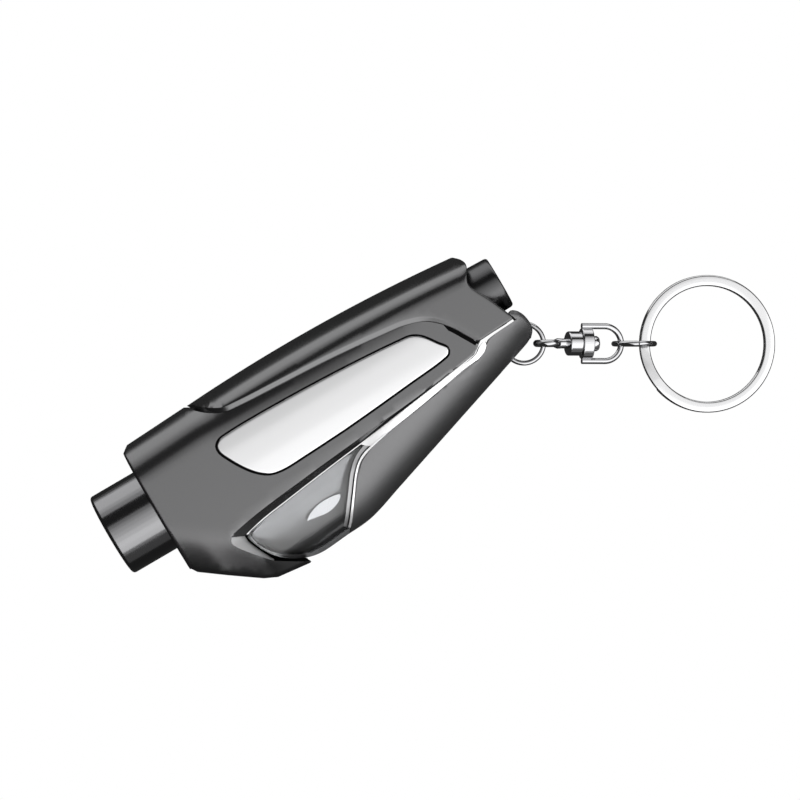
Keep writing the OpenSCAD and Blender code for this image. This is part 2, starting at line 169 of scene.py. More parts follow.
def plan(loop, rings, lines=(), step=1.1):
    """Triangles over a loop: rows of points beside its edge, lines kept as edges, a grid between."""
    own = loop + loop[:1]
    points = list(loop)
    edges = []
    for line in lines:
        first = len(points)
        points += line
        edges += [(i, i + 1) for i in range(first, len(points) - 1)]
    fixed = np.asarray(points, float)
    sign = 1 if sum(a[0] * b[1] - b[0] * a[1] for a, b in zip(own, own[1:])) > 0 else -1
    for d in rings:
        row = np.asarray(offset(loop[-1:] + own, sign * d)[1:-1], float)
        row = row[(distance(row, own) > 0.95 * d) & inside(row, loop)]
        for line in lines:
            row = row[distance(row, line) > 0.12] if len(row) else row
        points += [tuple(q) for q in row.tolist()]
    low, high = fixed.min(0), fixed.max(0)
    grid = [
        (x + (0.5 * step if j % 2 else 0), y)
        for j, y in enumerate(np.arange(low[1], high[1], step * 0.87))
        for x in np.arange(low[0], high[0], step)
    ]
    grid = np.asarray(grid, float)
    keep = inside(grid, loop) & (distance(grid, own) > max(rings, default=0) + 0.35 * step)
    for line in lines:
        keep &= distance(grid, line) > 0.4 * step
    points += [tuple(q) for q in grid[keep].tolist()]
    verts, _, faces, *_ = geometry.delaunay_2d_cdt(
        [Vector(p) for p in points], edges, [list(range(len(loop)))], 1, 1e-5
    )
    flat = np.asarray([tuple(v) for v in verts], float)
    centre = np.asarray([flat[list(f)].mean(0) for f in faces])
    faces = [list(f) for f, ok in zip(faces, inside(centre, loop)) if ok]
    return flat, faces


def between(flat, faces, top, low):
    """Closed solid between two heights over the same triangles."""
    n = len(flat)
    verts = np.vstack([np.column_stack([flat, top]), np.column_stack([flat, low])])
    used = {}
    for f in faces:
        for a, b in zip(f, f[1:] + f[:1]):
            used[(a, b)] = True
    walls = [[b, a, a + n, b + n] for a, b in used if (b, a) not in used]
    up = flat[faces[0]]
    turn = np.cross(up[1] - up[0], up[2] - up[0])
    all_faces = faces + [[i + n for i in reversed(f)] for f in faces] + walls
    if turn < 0:
        all_faces = [f[::-1] for f in all_faces]
    return verts.tolist(), all_faces


def add(name, verts, faces, merge=0.0):
    """Object from millimetre points."""
    mesh = bpy.data.meshes.new(name)
    mesh.from_pydata([tuple(c * MM for c in v) for v in verts], [], faces)
    work = bmesh.new()
    work.from_mesh(mesh)
    if merge:
        bmesh.ops.remove_doubles(work, verts=work.verts, dist=merge * MM)
    bmesh.ops.recalc_face_normals(work, faces=work.faces)
    work.to_mesh(mesh)
    work.free()
    obj = bpy.data.objects.new(name, mesh)
    bpy.context.scene.collection.objects.link(obj)
    return obj


def joined(*parts):
    """Points and faces of several closed solids as one list."""
    verts, faces = [], []
    for v, f in parts:
        first = len(verts)
        verts += list(v)
        faces += [[i + first for i in face] for face in f]
    return verts, faces


def revolved(profile, sides=96, y=0.0, z=0.0):
    """Closed profile of (x, radius) turned about a line along X."""
    verts = []
    for k in range(sides):
        a = 2 * math.pi * k / sides
        verts += [(x, y + r * math.cos(a), z + r * math.sin(a)) for x, r in profile]
    n = len(profile)
    faces = [
        [k * n + i, k * n + (i + 1) % n, (k + 1) % sides * n + (i + 1) % n, (k + 1) % sides * n + i]
        for k in range(sides)
        for i in range(n)
    ]
    return verts, faces


def rod(r, x0, x1, y=0.0, sides=72):
    """Plain cylinder along X, for cutting."""
    verts = [(x, y + c, s) for x in (x0, x1) for c, s in circle(r, sides)]
    walls = [[k, (k + 1) % sides, (k + 1) % sides + sides, k + sides] for k in range(sides)]
    return verts, walls + [list(range(sides))[::-1], list(range(sides, 2 * sides))]


def block(x0, y0, z0, x1, y1, z1):
    """Box, for cutting."""
    verts = [(x, y, z) for z in (z0, z1) for y in (y0, y1) for x in (x0, x1)]
    faces = [[0, 2, 3, 1], [4, 5, 7, 6], [0, 1, 5, 4], [2, 6, 7, 3], [0, 4, 6, 2], [1, 3, 7, 5]]
    return verts, faces


def swept(path, section, around=None, loop=False):
    """Section of (side, up) points moved along a path of vectors. around is the fixed up direction."""
    path = [Vector(p) for p in path]
    n, m = len(path), len(section)
    verts = []
    for i, p in enumerate(path):
        ahead = path[(i + 1) % n] if loop or i < n - 1 else p
        behind = path[i - 1] if loop or i else p
        t = (ahead - behind).normalized()
        up = (around - around.dot(t) * t).normalized()
        side = up.cross(t)
        verts += [tuple(p + side * a + up * b) for a, b in section]
    faces = [
        [i * m + j, i * m + (j + 1) % m, (i + 1) % n * m + (j + 1) % m, (i + 1) % n * m + j]
        for i in range(n if loop else n - 1)
        for j in range(m)
    ]
    if not loop:
        faces += [list(range(m))[::-1], list(range((n - 1) * m, n * m))]
    return verts, faces


def circle(r, sides=20):
    """Round section for swept()."""
    angles = [2 * math.pi * k / sides for k in range(sides)]
    return [(r * math.cos(a), r * math.sin(a)) for a in angles]


def cut(obj, *tools):
    """Takes the tools' solids away from the object."""
    made = []
    for i, (verts, faces) in enumerate(tools):
        tool = add(f"{obj.name}_tool_{i}", verts, faces)
        mod = obj.modifiers.new(f"cut_{i}", "BOOLEAN")
        mod.operation = "DIFFERENCE"
        mod.solver = "MANIFOLD"
        mod.object = tool
        made.append(tool)
    graph = bpy.context.evaluated_depsgraph_get()
    mesh = bpy.data.meshes.new_from_object(obj.evaluated_get(graph))
    obj.modifiers.clear()
    old, obj.data = obj.data, mesh
    bpy.data.meshes.remove(old)
    for tool in made:
        data = tool.data
        bpy.data.objects.remove(tool)
        bpy.data.meshes.remove(data)
    return obj


def finish_piece(obj, material, body, *stands_for, slot=None, angle=32):
    """Material, smooth shading up to an angle, body and the CAD nodes that the piece replaces."""
    obj.data.materials.clear()
    obj.data.materials.append(material)
    obj.data.polygons.foreach_set("use_smooth", [True] * len(obj.data.polygons))
    obj.data.set_sharp_from_angle(angle=math.radians(angle))
    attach(obj, body)
    if stands_for:
        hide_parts(*stands_for)
    return obj


# ---------- materials ----------


def material(name, color, metallic=0.0, roughness=0.4, grain=0.0, grain_size=0.3, spread=0.0, **sockets):
    """Principled material. grain is the bump's height in mm, spread how far the roughness varies."""
    mat = bpy.data.materials.new(name)
    mat.use_nodes = True
    tree = mat.node_tree
    shader = tree.nodes["Principled BSDF"]
    shader.inputs["Base Color"].default_value = (*color, 1)
    shader.inputs["Metallic"].default_value = metallic
    shader.inputs["Roughness"].default_value = roughness
    for key, value in sockets.items():
        shader.inputs[key.replace("_", " ")].default_value = value
    place = tree.nodes.new("ShaderNodeTexCoord")
    noise = tree.nodes.new("ShaderNodeTexNoise")
    noise.inputs["Scale"].default_value = 1 / (grain_size * MM)
    noise.inputs["Detail"].default_value = 4
    tree.links.new(place.outputs["Object"], noise.inputs["Vector"])
    if spread:
        reach = tree.nodes.new("ShaderNodeMapRange")
        reach.inputs["To Min"].default_value = max(0.0, roughness - spread)
        reach.inputs["To Max"].default_value = roughness + spread
        tree.links.new(noise.outputs["Fac"], reach.inputs["Value"])
        tree.links.new(reach.outputs["Result"], shader.inputs["Roughness"])
    if grain:
        bump = tree.nodes.new("ShaderNodeBump")
        bump.inputs["Strength"].default_value = 1
        bump.inputs["Distance"].default_value = grain * MM
        tree.links.new(noise.outputs["Fac"], bump.inputs["Height"])
        tree.links.new(bump.outputs["Normal"], shader.inputs["Normal"])
    return mat


BLACK = material("black_plastic", (0.15, 0.15, 0.152), 0.95, 0.23, 0.0012, 0.12, 0.03)
# near-black and almost unreflective: painted shade for the hollows it lines (slit floor, plate seats, hook
# web)
SHADE_BLACK = material("painted_shade_black", (0.004, 0.004, 0.004), 0, 0.8, 0.002, 0.2, 0.05, Specular_IOR_Level=0.1)
GUNMETAL = material("gunmetal_gloss", (0.205, 0.205, 0.208), 1.0, 0.5, 0, 0.6, 0.03)
SMOKE = material("hook_satin", (0.215, 0.215, 0.218), 1.0, 0.29, 0, 0.6, 0.03)
PLATE = material("mirror_plate", (0.675, 0.675, 0.68), 1.0, 0.14, 0, 1.5, 0.03)
CHROME_DARK = material("black_chrome", (0.215, 0.215, 0.22), 1.0, 0.15, 0, 2.0, 0.02)
CAP = material("gloss_black", (0.095, 0.095, 0.097), 1.0, 0.24, 0, 0.8, 0.03)
CLEAR = material(
    "clear_plastic", (0.96, 0.97, 0.98), 0, 0.03, 0, 3.0, 0.01, Transmission_Weight=1.0, IOR=1.49
)
# white on the guard's rim and the clip's front-edge bead: painted highlight along those edges
HIGHLIGHT_WHITE = material("painted_highlight_white", (0.95, 0.95, 0.955), 0.6, 0.3, 0, 0.5, 0.05)
BLADE = material("blade_steel", (0.6, 0.6, 0.61), 1.0, 0.28, 0.001, 0.2, 0.05)
SPRING = material("spring_steel", (0.5, 0.5, 0.52), 1.0, 0.25, 0, 0.5, 0.05)
TOOL = material("tool_steel", (0.42, 0.42, 0.44), 1.0, 0.3, 0.001, 0.15, 0.06)
TIP = material("hard_tip", (0.3, 0.3, 0.32), 1.0, 0.22, 0, 0.3, 0.04)
SCREW = material("screw_steel", (0.55, 0.55, 0.57), 1.0, 0.3, 0, 0.3, 0.06)
BOARD = material("circuit_board", (0.03, 0.16, 0.07), 0, 0.4, 0.003, 0.2, 0.05)
# light grey on the recess's end wall of black casing: painted highlight where that wall catches the light
CRESCENT = material("painted_lit_wall", (0.62, 0.62, 0.625), 0, 0.35, 0.001, 0.2, 0.05)
# grey strip beside the clip's front edge: painted highlight of a fainter step edge
STEP_GLINT = material("painted_step_highlight", (0.42, 0.42, 0.425), 0.8, 0.4, 0, 0.5, 0.05)
CHAIN = material("chain_chrome", (0.5, 0.5, 0.51), 1.0, 0.1, 0, 0.8, 0.03)
NICKEL = material("key_ring_nickel", (0.58, 0.58, 0.585), 1.0, 0.12, 0, 0.8, 0.03)

# ---------- casing ----------

COVER_STEP = smooth(
    (24.6, 11.7), (26, 10.5), (28.7, 8.95), (32, 8.5), (40, 8.05), (50, 7.5),
    (60, 6.55), (65, 5.85), (68.3, 4.6), (71.2, 1.9), (73.1, -1.1), (74.3, -3.2),
)
COVER_REAR = smooth(
    (82.2, -2.75), (80.1, 2.3), (78.3, 6.0), (78.2, 6.9), (79.5, 9.5), (79.6, 10.3), (79.2, 11.3),
    (78.3, 12.3),
)
PANEL_EDGE = smooth(
    (18.9, -11.1), (19.6, -10.8), (25, -9.75), (35, -8.6), (45, -7.6),
    (55, -6.7), (65, -5.65), (72.6, -4.75), (73.6, -4.25), (74.1, -3.4),
)
WALL_FOOT = smooth(
    (20.9, -12.05), (25, -11.1), (30, -10.4), (40, -9.1), (50, -7.9), (60, -6.55), (66, -5.75), (72.7, -4.8),
)
CHIN = straight((9.7, -12.3), (10.4, -13.4), (15, -16.8), (20, -20.4), (22.3, -21.5), (28.6, -22.2))
CRESCENT_OUT = smooth((18.9, -11.1), (18.4, -12), (18.8, -13), (20.25, -15), (21.8, -16.9), (23.3, -18.5))
PLATE_EDGE = closed(
    smooth(
        (46, -4.7), (38, -5.12), (33, -5.25), (30.6, -4.75), (28.6, -3.3), (27, -1.3), (25.6, 1.1),
        (24.75, 3.1), (24.85, 4.2), (25.8, 5), (28, 5.25), (33, 5.35), (45, 5.1), (55, 4.6), (62, 4.05),
        (64.6, 3.7), (66.2, 2.7), (68.1, 0.2), (69.15, -1.3), (68.8, -2.3), (67.2, -2.75), (60, -3.45),
        (52, -4.2), (46, -4.7),
    ),
)


def shoulder(y, top, r, half, flank=73):
    """Height of a flat side that turns through radius r into a steep flank, which ends at top."""
    s, c = math.sin(math.radians(flank)), math.cos(math.radians(flank))
    centre = top - (r + c * (half - r)) / s
    arc = half - r + np.sqrt(np.maximum(r * r - np.clip(y - centre, 0, r) ** 2, 0))
    return np.maximum(np.where(y < centre + r * s, arc, (top - y) * s / c), 0)


def edge_round(d, r):
    """Drop of a rounded edge at distance d from it."""
    return r - np.sqrt(np.maximum(r * r - np.maximum(r - d, 0) ** 2, 0))


def swell(d, reach, depth):
    """Drop of a wide soft rounding at distance d from an edge."""
    return depth * np.maximum(1 - d / reach, 0) ** 2


def collar_top(x):
    """Top line of the front collar; behind it the panel's shoulder sinks slowly under the cover."""
    return np.where(x < 23, 12.8 + (x - 10.6) * 0.057, 13.5 - (x - 23) * 0.022)


def panel_height(flat):
    """Outer surface of the casing's front collar and side panel."""
    x, y = flat[:, 0], flat[:, 1]
    z = shoulder(y, collar_top(x), 7.3, PANEL, 78)
    under = 0.591 * (x - 10.3) + 0.807 * (y + 13.3)
    prong = 0.11 * (x - 22.3) + 0.994 * (y + 21.5)
    below = -1.2 * np.log(np.exp(-under / 1.2) + np.exp(-prong / 1.2))
    z = z - swell(np.maximum(below, -0.5), 8, 2.3 + 0.2 * np.clip(x - 14, 0, 8))
    z = z - edge_round(distance(flat, [(9.5, -12.3), (9.5, 11.6), (10.6, 12.7)]), 0.45)
    z = z - edge_round(distance(flat, CHIN), 0.8)
    return z


def cover_height(flat):
    """Outer surface of the ridge cover, bevelled along its lower front edge."""
    x, y = flat[:, 0], flat[:, 1]
    d = distance(flat, COVER_STEP)
    beside = np.clip(BEVEL - d, 0, BEVEL)
    z = shoulder(y + beside, top_of(x), 4.9 - 1.2 * np.clip((x - 42) / 34, 0, 1), REST)
    z = z - beside * (0.2 + 0.2 * np.clip((y - 2) / 4, 0, 1)) - edge_round(d, 0.08)
    z = z - edge_round(distance(flat, COVER_REAR), 0.4)
    z = z - edge_round(distance(flat, [(74.3, -3.2), (82.2, -2.75)]), 0.25)
    return z - 0.35 * np.clip(1 - distance(flat, [(23.5, 13.4), (24.6, 11.7)]) / BEVEL, 0, 1)


def cover_loop():
    """Outline of the ridge cover."""
    ridge = [(x, float(top_of(x))) for x in np.arange(78, 23.7, -0.6)]
    return closed(COVER_STEP, straight((74.3, -3.2), (82.2, -2.75)), COVER_REAR, ridge, [(23.5, 13.38)])


def casing_loop():
    """Outline of the casing without its hook."""
    ridge = [(x, float(top_of(x)) - 1.3) for x in np.arange(77, 24.5, -0.6)]
    return closed(
        straight((9.5, 11.6), (9.5, -12.3)), CHIN, straight((28.6, -22.2), (28.4, -21.8), (23.3, -18.6)),
        CRESCENT_OUT[::-1], straight((18.9, -11.1), (20.9, -12.05)), WALL_FOOT,
        straight((72.7, -4.8), (74, -3.9), (75, -3.1), (80.6, -2.9), (79.4, 1.5), (77.6, 6.2), (77.2, 10)),
        ridge, straight((24.2, 12.6), (23.4, 13.1), (22.9, 13.38), (10.6, 12.7)),
        straight((10.6, 12.7), (9.5, 11.6)),
    )


def casing_height(flat, cover, recess):
    """Whole outer surface of a casing half: panel, wall of the recess, core under the cover, plate seat."""
    z = panel_height(flat)
    edge, foot = distance(flat, PANEL_EDGE), distance(flat, WALL_FOOT)
    below = ~inside(flat, closed(PANEL_EDGE, [(90, -3.4), (90, 30), (10, 30), (10, -11)]))
    wall = below & (flat[:, 0] > 18.9) & (flat[:, 1] > -12.5)
    z = np.where(wall, z - 1.5 * edge / np.maximum(edge + foot, 1e-6), z - edge_round(edge, 0.2))
    core = shoulder(flat[:, 1], top_of(flat[:, 0]) - 1.3, 4.2, 7.4)
    z = np.where(inside(flat, cover), np.minimum(core, z - 0.9), z)
    z = np.where(inside(flat, recess), PANEL - 0.9, z)
    return np.maximum(z, 0.05)


def widened(loop, d):
    """Loop moved outwards by d."""
    p = loop[-1:] + loop + loop[:1]
    area = sum(a[0] * b[1] - b[0] * a[1] for a, b in zip(loop, loop[1:] + loop[:1]))
    return offset(p, -d if area > 0 else d)[1:-1]


def flipped(verts, faces):
    """Mirror image in the middle plane."""
    return [(x, y, -z) for x, y, z in verts], [f[::-1] for f in faces]


def punch_tools():
    """Bores of the sleeve, barrel, cells and lamp head, one solid each."""
    return [
        rod(SLEEVE_R + 0.05, 0, 24.6),
        block(13.95, -9.6, -3.05, 24.6, 9.6, 3.05),
        rod(7.05, 24.5, 27.05),
        rod(4.55, 27, 57.55),
        rod(4.0, 58.15, 70.2, LAMP_Y),
        rod(LAMP_R + 0.05, 70.1, 100, LAMP_Y),
        rod(6.05, 70.95, 72.65, LAMP_Y),
    ]


def hook_loop():
    """Outline of the hook under the clear guard."""
    return closed(
        smooth(
            (74.6, -4.6), (66, -6.2), (60, -7.05), (50, -8.4), (40, -9.6), (30, -10.95), (25, -11.75),
            (22.9, -12.3), (22.1, -12.8), (22.2, -13.7), (22.9, -15.3), (24.3, -17.5), (26.3, -19.1),
            (28.5, -20.3), (31.1, -20.9), (36.8, -20.55), (41.8, -20.1),
        ),
        straight((41.8, -20.1), (50, -17.6), (74, -9.9), (74.6, -4.6)),
    )


# lower edge of guard and clip; the crest is the line that their half-round sections are measured from
KEEL = smooth(
    (22.3, -15.6), (23.9, -18), (26, -19.8), (28.3, -21), (31, -21.65), (36.8, -21.3), (42, -20.85),
    (50, -18.35),
) + straight((50, -18.35), (83, -7.6))
CREST = smooth(
    (12, -20.5), (22, -21.5), (31, -21.75), (36.8, -21.3), (42, -20.85), (50, -18.35),
) + [(83, -7.6)]


def keel_height(flat, half, width, inset=0.0):
    """Half-round section that rises from the clip's lower edge to its flat side."""
    t = np.clip(1 - (distance(flat, CREST) - inset) / width, 0, 1)
    return half * np.sqrt(np.maximum(1 - t**2.4, 0)) - 0.22 * width * t * (1 - t)


def hook_height(flat):
    """Wedge of the hook, which thins smoothly towards its lower edge."""
    s = np.minimum(distance(flat, CREST), 12)
    return 0.3 + 0.4 * np.logaddexp(0, (1.228 * s - 0.0456 * s * s - 2.45) / 0.4)


def build_casing():
    cover, recess = cover_loop(), widened(PLATE_EDGE, 0.32)
    loop = casing_loop()
    lines = []
    for d in (-0.02, 0.02):
        lines.append(offset(PANEL_EDGE, d)[2:-2])
        lines.append([p for p in offset([(23.3, 13.7)] + COVER_STEP, d) if -3.1 < p[1]])
        ring = widened(recess, d)
        lines.append(ring + ring[:1])
    flat, faces = plan(loop, (0.04, 0.12, 0.25, 0.45, 0.8), lines)
    top = casing_height(flat, cover, recess)
    half = between(flat, faces, top, np.full(len(flat), 0.005))
    # Slit along the rear of the cover's lower edge; the near-black sheet laid at its floor is painted shade.
    rear = [p for p in COVER_STEP if p[0] > 70.6]
    slit = closed(rear, [(a[0] - 0.62, a[1] - 0.3) for a in rear[:2:-1]])
    flat, faces = plan(slit, (0.08,), step=1)
    level = np.full(len(flat), PANEL)
    groove = between(flat, faces, level + 1, level - 0.7)
    gap_shade_floor = between(flat, faces, level - 0.5, level - 0.9)
    wells = [upright(rod(1.75, -12, 1.4 - seat), x, y) for x, y, seat in SCREWS]
    for side, part, slit_tool, low, holes in (
        ("left", half, groove, gap_shade_floor, []),
        ("right", flipped(*half), flipped(*groove), flipped(*gap_shade_floor), wells),
    ):
        shell = add(f"{side}_shell_body", *part)
        cut(shell, *punch_tools(), slit_tool, *holes)
        finish_piece(add(f"{side}_gap_floor", *low), SHADE_BLACK, "casing", slot="black_shell")
        finish_piece(shell, BLACK, "casing", f"{side}_shell", slot="black_shell")
    # Near-black sheets under the side plates: painted shade in the narrow gap round each plate.
    flat, faces = plan(recess, (0.1,), step=3)
    level = np.full(len(flat), PANEL)
    seat = between(flat, faces, level - 0.54, level - 0.88)
    for side, part in (("left", seat), ("right", flipped(*seat))):
        finish_piece(add(f"{side}_plate_seat", *part), SHADE_BLACK, "casing", slot="black_shell")
    # Near-black web filling the gap between the recess's end wall and the hook: painted shade.
    shade_gap = closed([
        (20.95, -12.2), (21.05, -13.2), (21.85, -15.3), (23.2, -18.5), (28.5, -21.9), (28.4, -21.25),
        (26.3, -19.6), (24.2, -17.7), (22.9, -15.5), (22.2, -13.9), (22, -12.9), (22.6, -12.4),
    ])
    flat, faces = plan(shade_gap, (0.1,), step=1)
    level = np.maximum(hook_height(flat) - 0.25, 0.3)
    finish_piece(add("hook_gap_shade", *between(flat, faces, level, -level)), SHADE_BLACK, "casing", slot="black_shell")
    flat, faces = plan(hook_loop(), (0.05, 0.15, 0.35, 0.7, 1.1, 1.6, 2.2), step=1.0)
    top = np.maximum(hook_height(flat) - edge_round(distance(flat, KEEL[:16]) - 0.8, 0.8), 0.3)
    hook = add("hook_body", *between(flat, faces, top, -top))
    finish_piece(hook, SMOKE, "casing", "left_shell", "right_shell", slot="gloss_black")


def inner_line(line, d):
    """Line beside another one, clear of the cover's own ends."""
    return [p for p in offset(line, d) if 25 < p[0] and p[1] > -2.6]


def build_cover():
    creases = [inner_line(COVER_STEP, BEVEL + d) for d in (-0.06, 0.06)]
    flat, faces = plan(cover_loop(), (0.03, 0.1, 0.22, 0.4, 0.7), creases)
    top = np.maximum(cover_height(flat), 0.02)
    cover = add("ridge_cover_shell", *between(flat, faces, top, -top), merge=0.001)
    inner = [(x, float(top_of(x)) - 1.3) for x in np.arange(20, 90, 2.0)]
    loop = closed(inner, [(90, -10), (20, -10)])
    flat, faces = plan(loop, (0.1, 0.4, 0.9), step=2.5)
    low = np.maximum(shoulder(flat[:, 1], top_of(flat[:, 0]) - 1.2, 4.3, 7.5), 0.02)
    cut(cover, between(flat, faces, low, -low))
    finish_piece(cover, BLACK, "casing", "ridge_cover", slot="black_shell")


def build_plates():
    flat, faces = plan(PLATE_EDGE, (0.05, 0.12, 0.25, 0.6), step=1.6)
    d = distance(flat, PLATE_EDGE + PLATE_EDGE[:1])
    crown = 0.24 * ((flat[:, 1] - 0.2) / 5) ** 2
    top = REST - crown - edge_round(d, 0.18)
    half = between(flat, faces, top, np.full(len(flat), PANEL - PLATE_BED))
    for side, part in (("left", half), ("right", flipped(*half))):
        plate = add(f"{side}_plate", *part)
        finish_piece(plate, PLATE, "casing", f"{side}_side_plate", slot="mirror_plate")


def upright(part, x, y):
    """Solid that was made along X, turned to stand on Z at a place."""
    return [(x + b, y + c, a) for a, b, c in part[0]], part[1]


def build_screws():
    """Countersunk cross-head screws, driven in from the right half."""
    solids, slots = [], []
    for x, y, seat in SCREWS:
        head = [(-seat, 0.01), (-seat, 1.4), (0.25 - seat, 1.6), (0.7 - seat, 1.6), (1.4 - seat, 1)]
        stem = [(4.2, 1), (4.6, 0.5), (4.6, 0.01)]
        solids.append(upright(revolved(head + stem, 40), x, y))
        for a, b in ((1, 0.2), (0.2, 1)):
            slots.append(block(x - a, y - b, -seat - 0.2, x + a, y + b, 0.6 - seat))
    screws = add("cross_head_screws", *joined(*solids))
    cut(screws, *slots)
    finish_piece(screws, SCREW, "casing", "casing_screws", slot="screw_steel")


def build_trim():
    """Blade flanks that shine through the clear nose, the guard's rim and the clip's front-edge bead in white
    as painted highlight, and a grey strip beside that edge as a fainter painted highlight.
    """
    leaf = smooth(
        (31.9, -15.3), (33, -14.5), (35.8, -13.75), (39.4, -14.2), (38.6, -15.1), (36, -15.85), (34, -15.6),
        (31.9, -15.3),
    )
    heel = closed([(36.3, -16.1), (39, -15.2), (41, -14.7), (40.5, -16.6), (38.5, -17.2), (34.4, -16.5)])
    rim = closed(
        smooth(
            (75.5, -3.65), (74.3, -4.05), (73, -4.93), (66, -5.85), (60, -6.65), (50, -8.0), (47.2, -8.45),
        ),
        smooth(
            (47.2, -8.45), (48.3, -9.4), (49.6, -9.9), (51, -9.8), (60, -8.15), (70, -6.5), (73, -6.1),
            (74.6, -5.5), (75.5, -4.9),
        ),
    )
    # The clip's front edge; the white bead along it is a painted highlight, the grey strip beside it a fainter
    # one.
    edge = smooth(
        (38, -20.4), (39, -19.3), (41.6, -15.9), (44.2, -12.5), (45.6, -11.2), (47.2, -10.35), (52, -9.4),
    )
    bead = closed(edge, offset(edge, 0.42)[::-1])
    glint_band = closed(offset(edge, 0.7), offset(edge, 1.3)[::-1])
    for name, loop, height, low, finish, body in (
        ("blade_flank", closed(leaf), 0.12, 0.3, BLADE, "casing"),
        ("blade_heel", heel, 0.05, 0.3, SMOKE, "casing"),
        ("guard_rim", rim, 0.12, 0.6, HIGHLIGHT_WHITE, "clip"),
        ("clip_bead_highlight", bead, 0.75, 0.5, HIGHLIGHT_WHITE, "clip"),
        ("guard_step_glint", glint_band, 0.1, 0.2, STEP_GLINT, "clip"),
    ):
        flat, faces = plan(loop, (0.1,), step=0.7)
        if name == "blade_flank":
            top, low = np.full(len(flat), 4.8), hook_height(flat) - 0.2
        elif body == "casing":
            top, low = hook_height(flat) + height, hook_height(flat) - low
        else:
            surface = keel_height(flat, GUARD, 8.5)
            rise = 0.8 * np.clip((flat[:, 0] - 48) / 8, 0, 1) if name == "guard_rim" else 0
            top, low = surface + height + rise, surface + height - low
        part = between(flat, faces, top, low)
        slot = "blade_steel" if body == "casing" else "clear_plastic"
        for side, solid in (("left", part), ("right", flipped(*part))):
            finish_piece(add(f"{side}_{name}", *solid), finish, body, slot=slot)


def build_crescent():
    """End wall of the recess in front of the guard's nose, coloured light grey as a painted highlight."""
    inner = smooth((20.9, -12.05), (21, -13.2), (21.8, -15.3), (23.3, -18.4))
    loop = closed(CRESCENT_OUT, inner[::-1])
    flat, faces = plan(loop, (0.15,), step=0.6)
    out, back = distance(flat, CRESCENT_OUT), distance(flat, inner)
    top = np.minimum(8.2, panel_height(flat) - 0.15) - 2.6 * out / np.maximum(out + back, 1e-6)
    part = between(flat, faces, top, top - 1.0)
    for side, solid in (("left", part), ("right", flipped(*part))):
        finish_piece(add(f"{side}_recess_end", *solid), CRESCENT, "casing", slot="mirror_plate")


# ---------- clip ----------


TAIL = smooth(
    (82.35, -3.1), (82.2, -2.5), (81.85, -1.65), (82.3, -1.25), (83.2, -1.75), (84, -3.1), (84.3, -4.9),
    (84.1, -6.2), (83, -7.6),
)


def clip_loop():
    """Outline of the clip's dark shell."""
    return closed(
        smooth(
            (37.3, -21.25), (39, -19.3), (40.4, -17.6), (41.6, -15.9), (43, -14), (44.2, -12.5), (45.6, -11.2),
            (47.2, -10.35), (50, -9.7), (55, -8.75), (60, -7.9), (65, -7.1), (70, -6.2), (73, -5.85),
            (74.6, -5.3), (75.6, -4.4), (76.4, -3.75), (82.4, -3.15),
        ),
        TAIL,
        [p for p in KEEL[::-1] if p[0] > 37.4],
    )


def build_guard():
    full = closed(
        smooth(
            (75.6, -3.7), (74.4, -4.1), (73, -5.0), (66, -5.95), (60, -6.75), (50, -8.1), (40, -9.3),
            (30, -10.6), (25, -11.3), (22, -12), (21.4, -12.5), (21.5, -13.4), (22.3, -15.6),
        ),
        [p for p in KEEL if p[0] < 75.6], [(75.6, -10.0)],
    )
    flat, faces = plan(full, (0.05, 0.15, 0.35, 0.7), step=1.2)
    edge = distance(flat, full + full[:1])
    top = np.maximum(keel_height(flat, GUARD, 8.5) - edge_round(edge, 0.3), 0.05)
    guard = add("clear_guard", *between(flat, faces, top, -top), merge=0.001)
    inner = closed(
        offset([p for p in KEEL if 22.5 < p[0] < 80], 1.1), [(90, 20), (10, 20), (10, -14.5)],
    )
    flat, faces = plan(inner, (0.1, 0.3, 0.7), step=1.4)
    low = np.maximum(keel_height(flat, GUARD - 1.1, 8.2, 1.1), 0.02)
    cut(guard, between(flat, faces, low, -low), block(10, -19.6, -3.2, 27, -7, 3.2))
    rim = widened(full, -0.08)
    flat, faces = plan(rim, (0.1, 0.4, 0.8), step=1.2)
    top = np.maximum(keel_height(flat, GUARD - 0.15, 8.5, 0.06), 0.05)
    liner = add("guard_liner", *between(flat, faces, top, -top), merge=0.001)
    window = closed([(p[0], p[1] + 0.9) for p in KEEL if p[0] < 75], [(80, -9), (80, 0), (20, 0)])
    flat, faces = plan(window, (0.2,), step=3)
    cut(liner, between(flat, faces, np.full(len(flat), 12.0), np.full(len(flat), -12.0)))
    finish_piece(liner, BLACK, "clip", slot="gloss_black")
    guard.visible_shadow = False
    finish_piece(guard, CLEAR, "clip", "blade_guard", slot="clear_plastic")


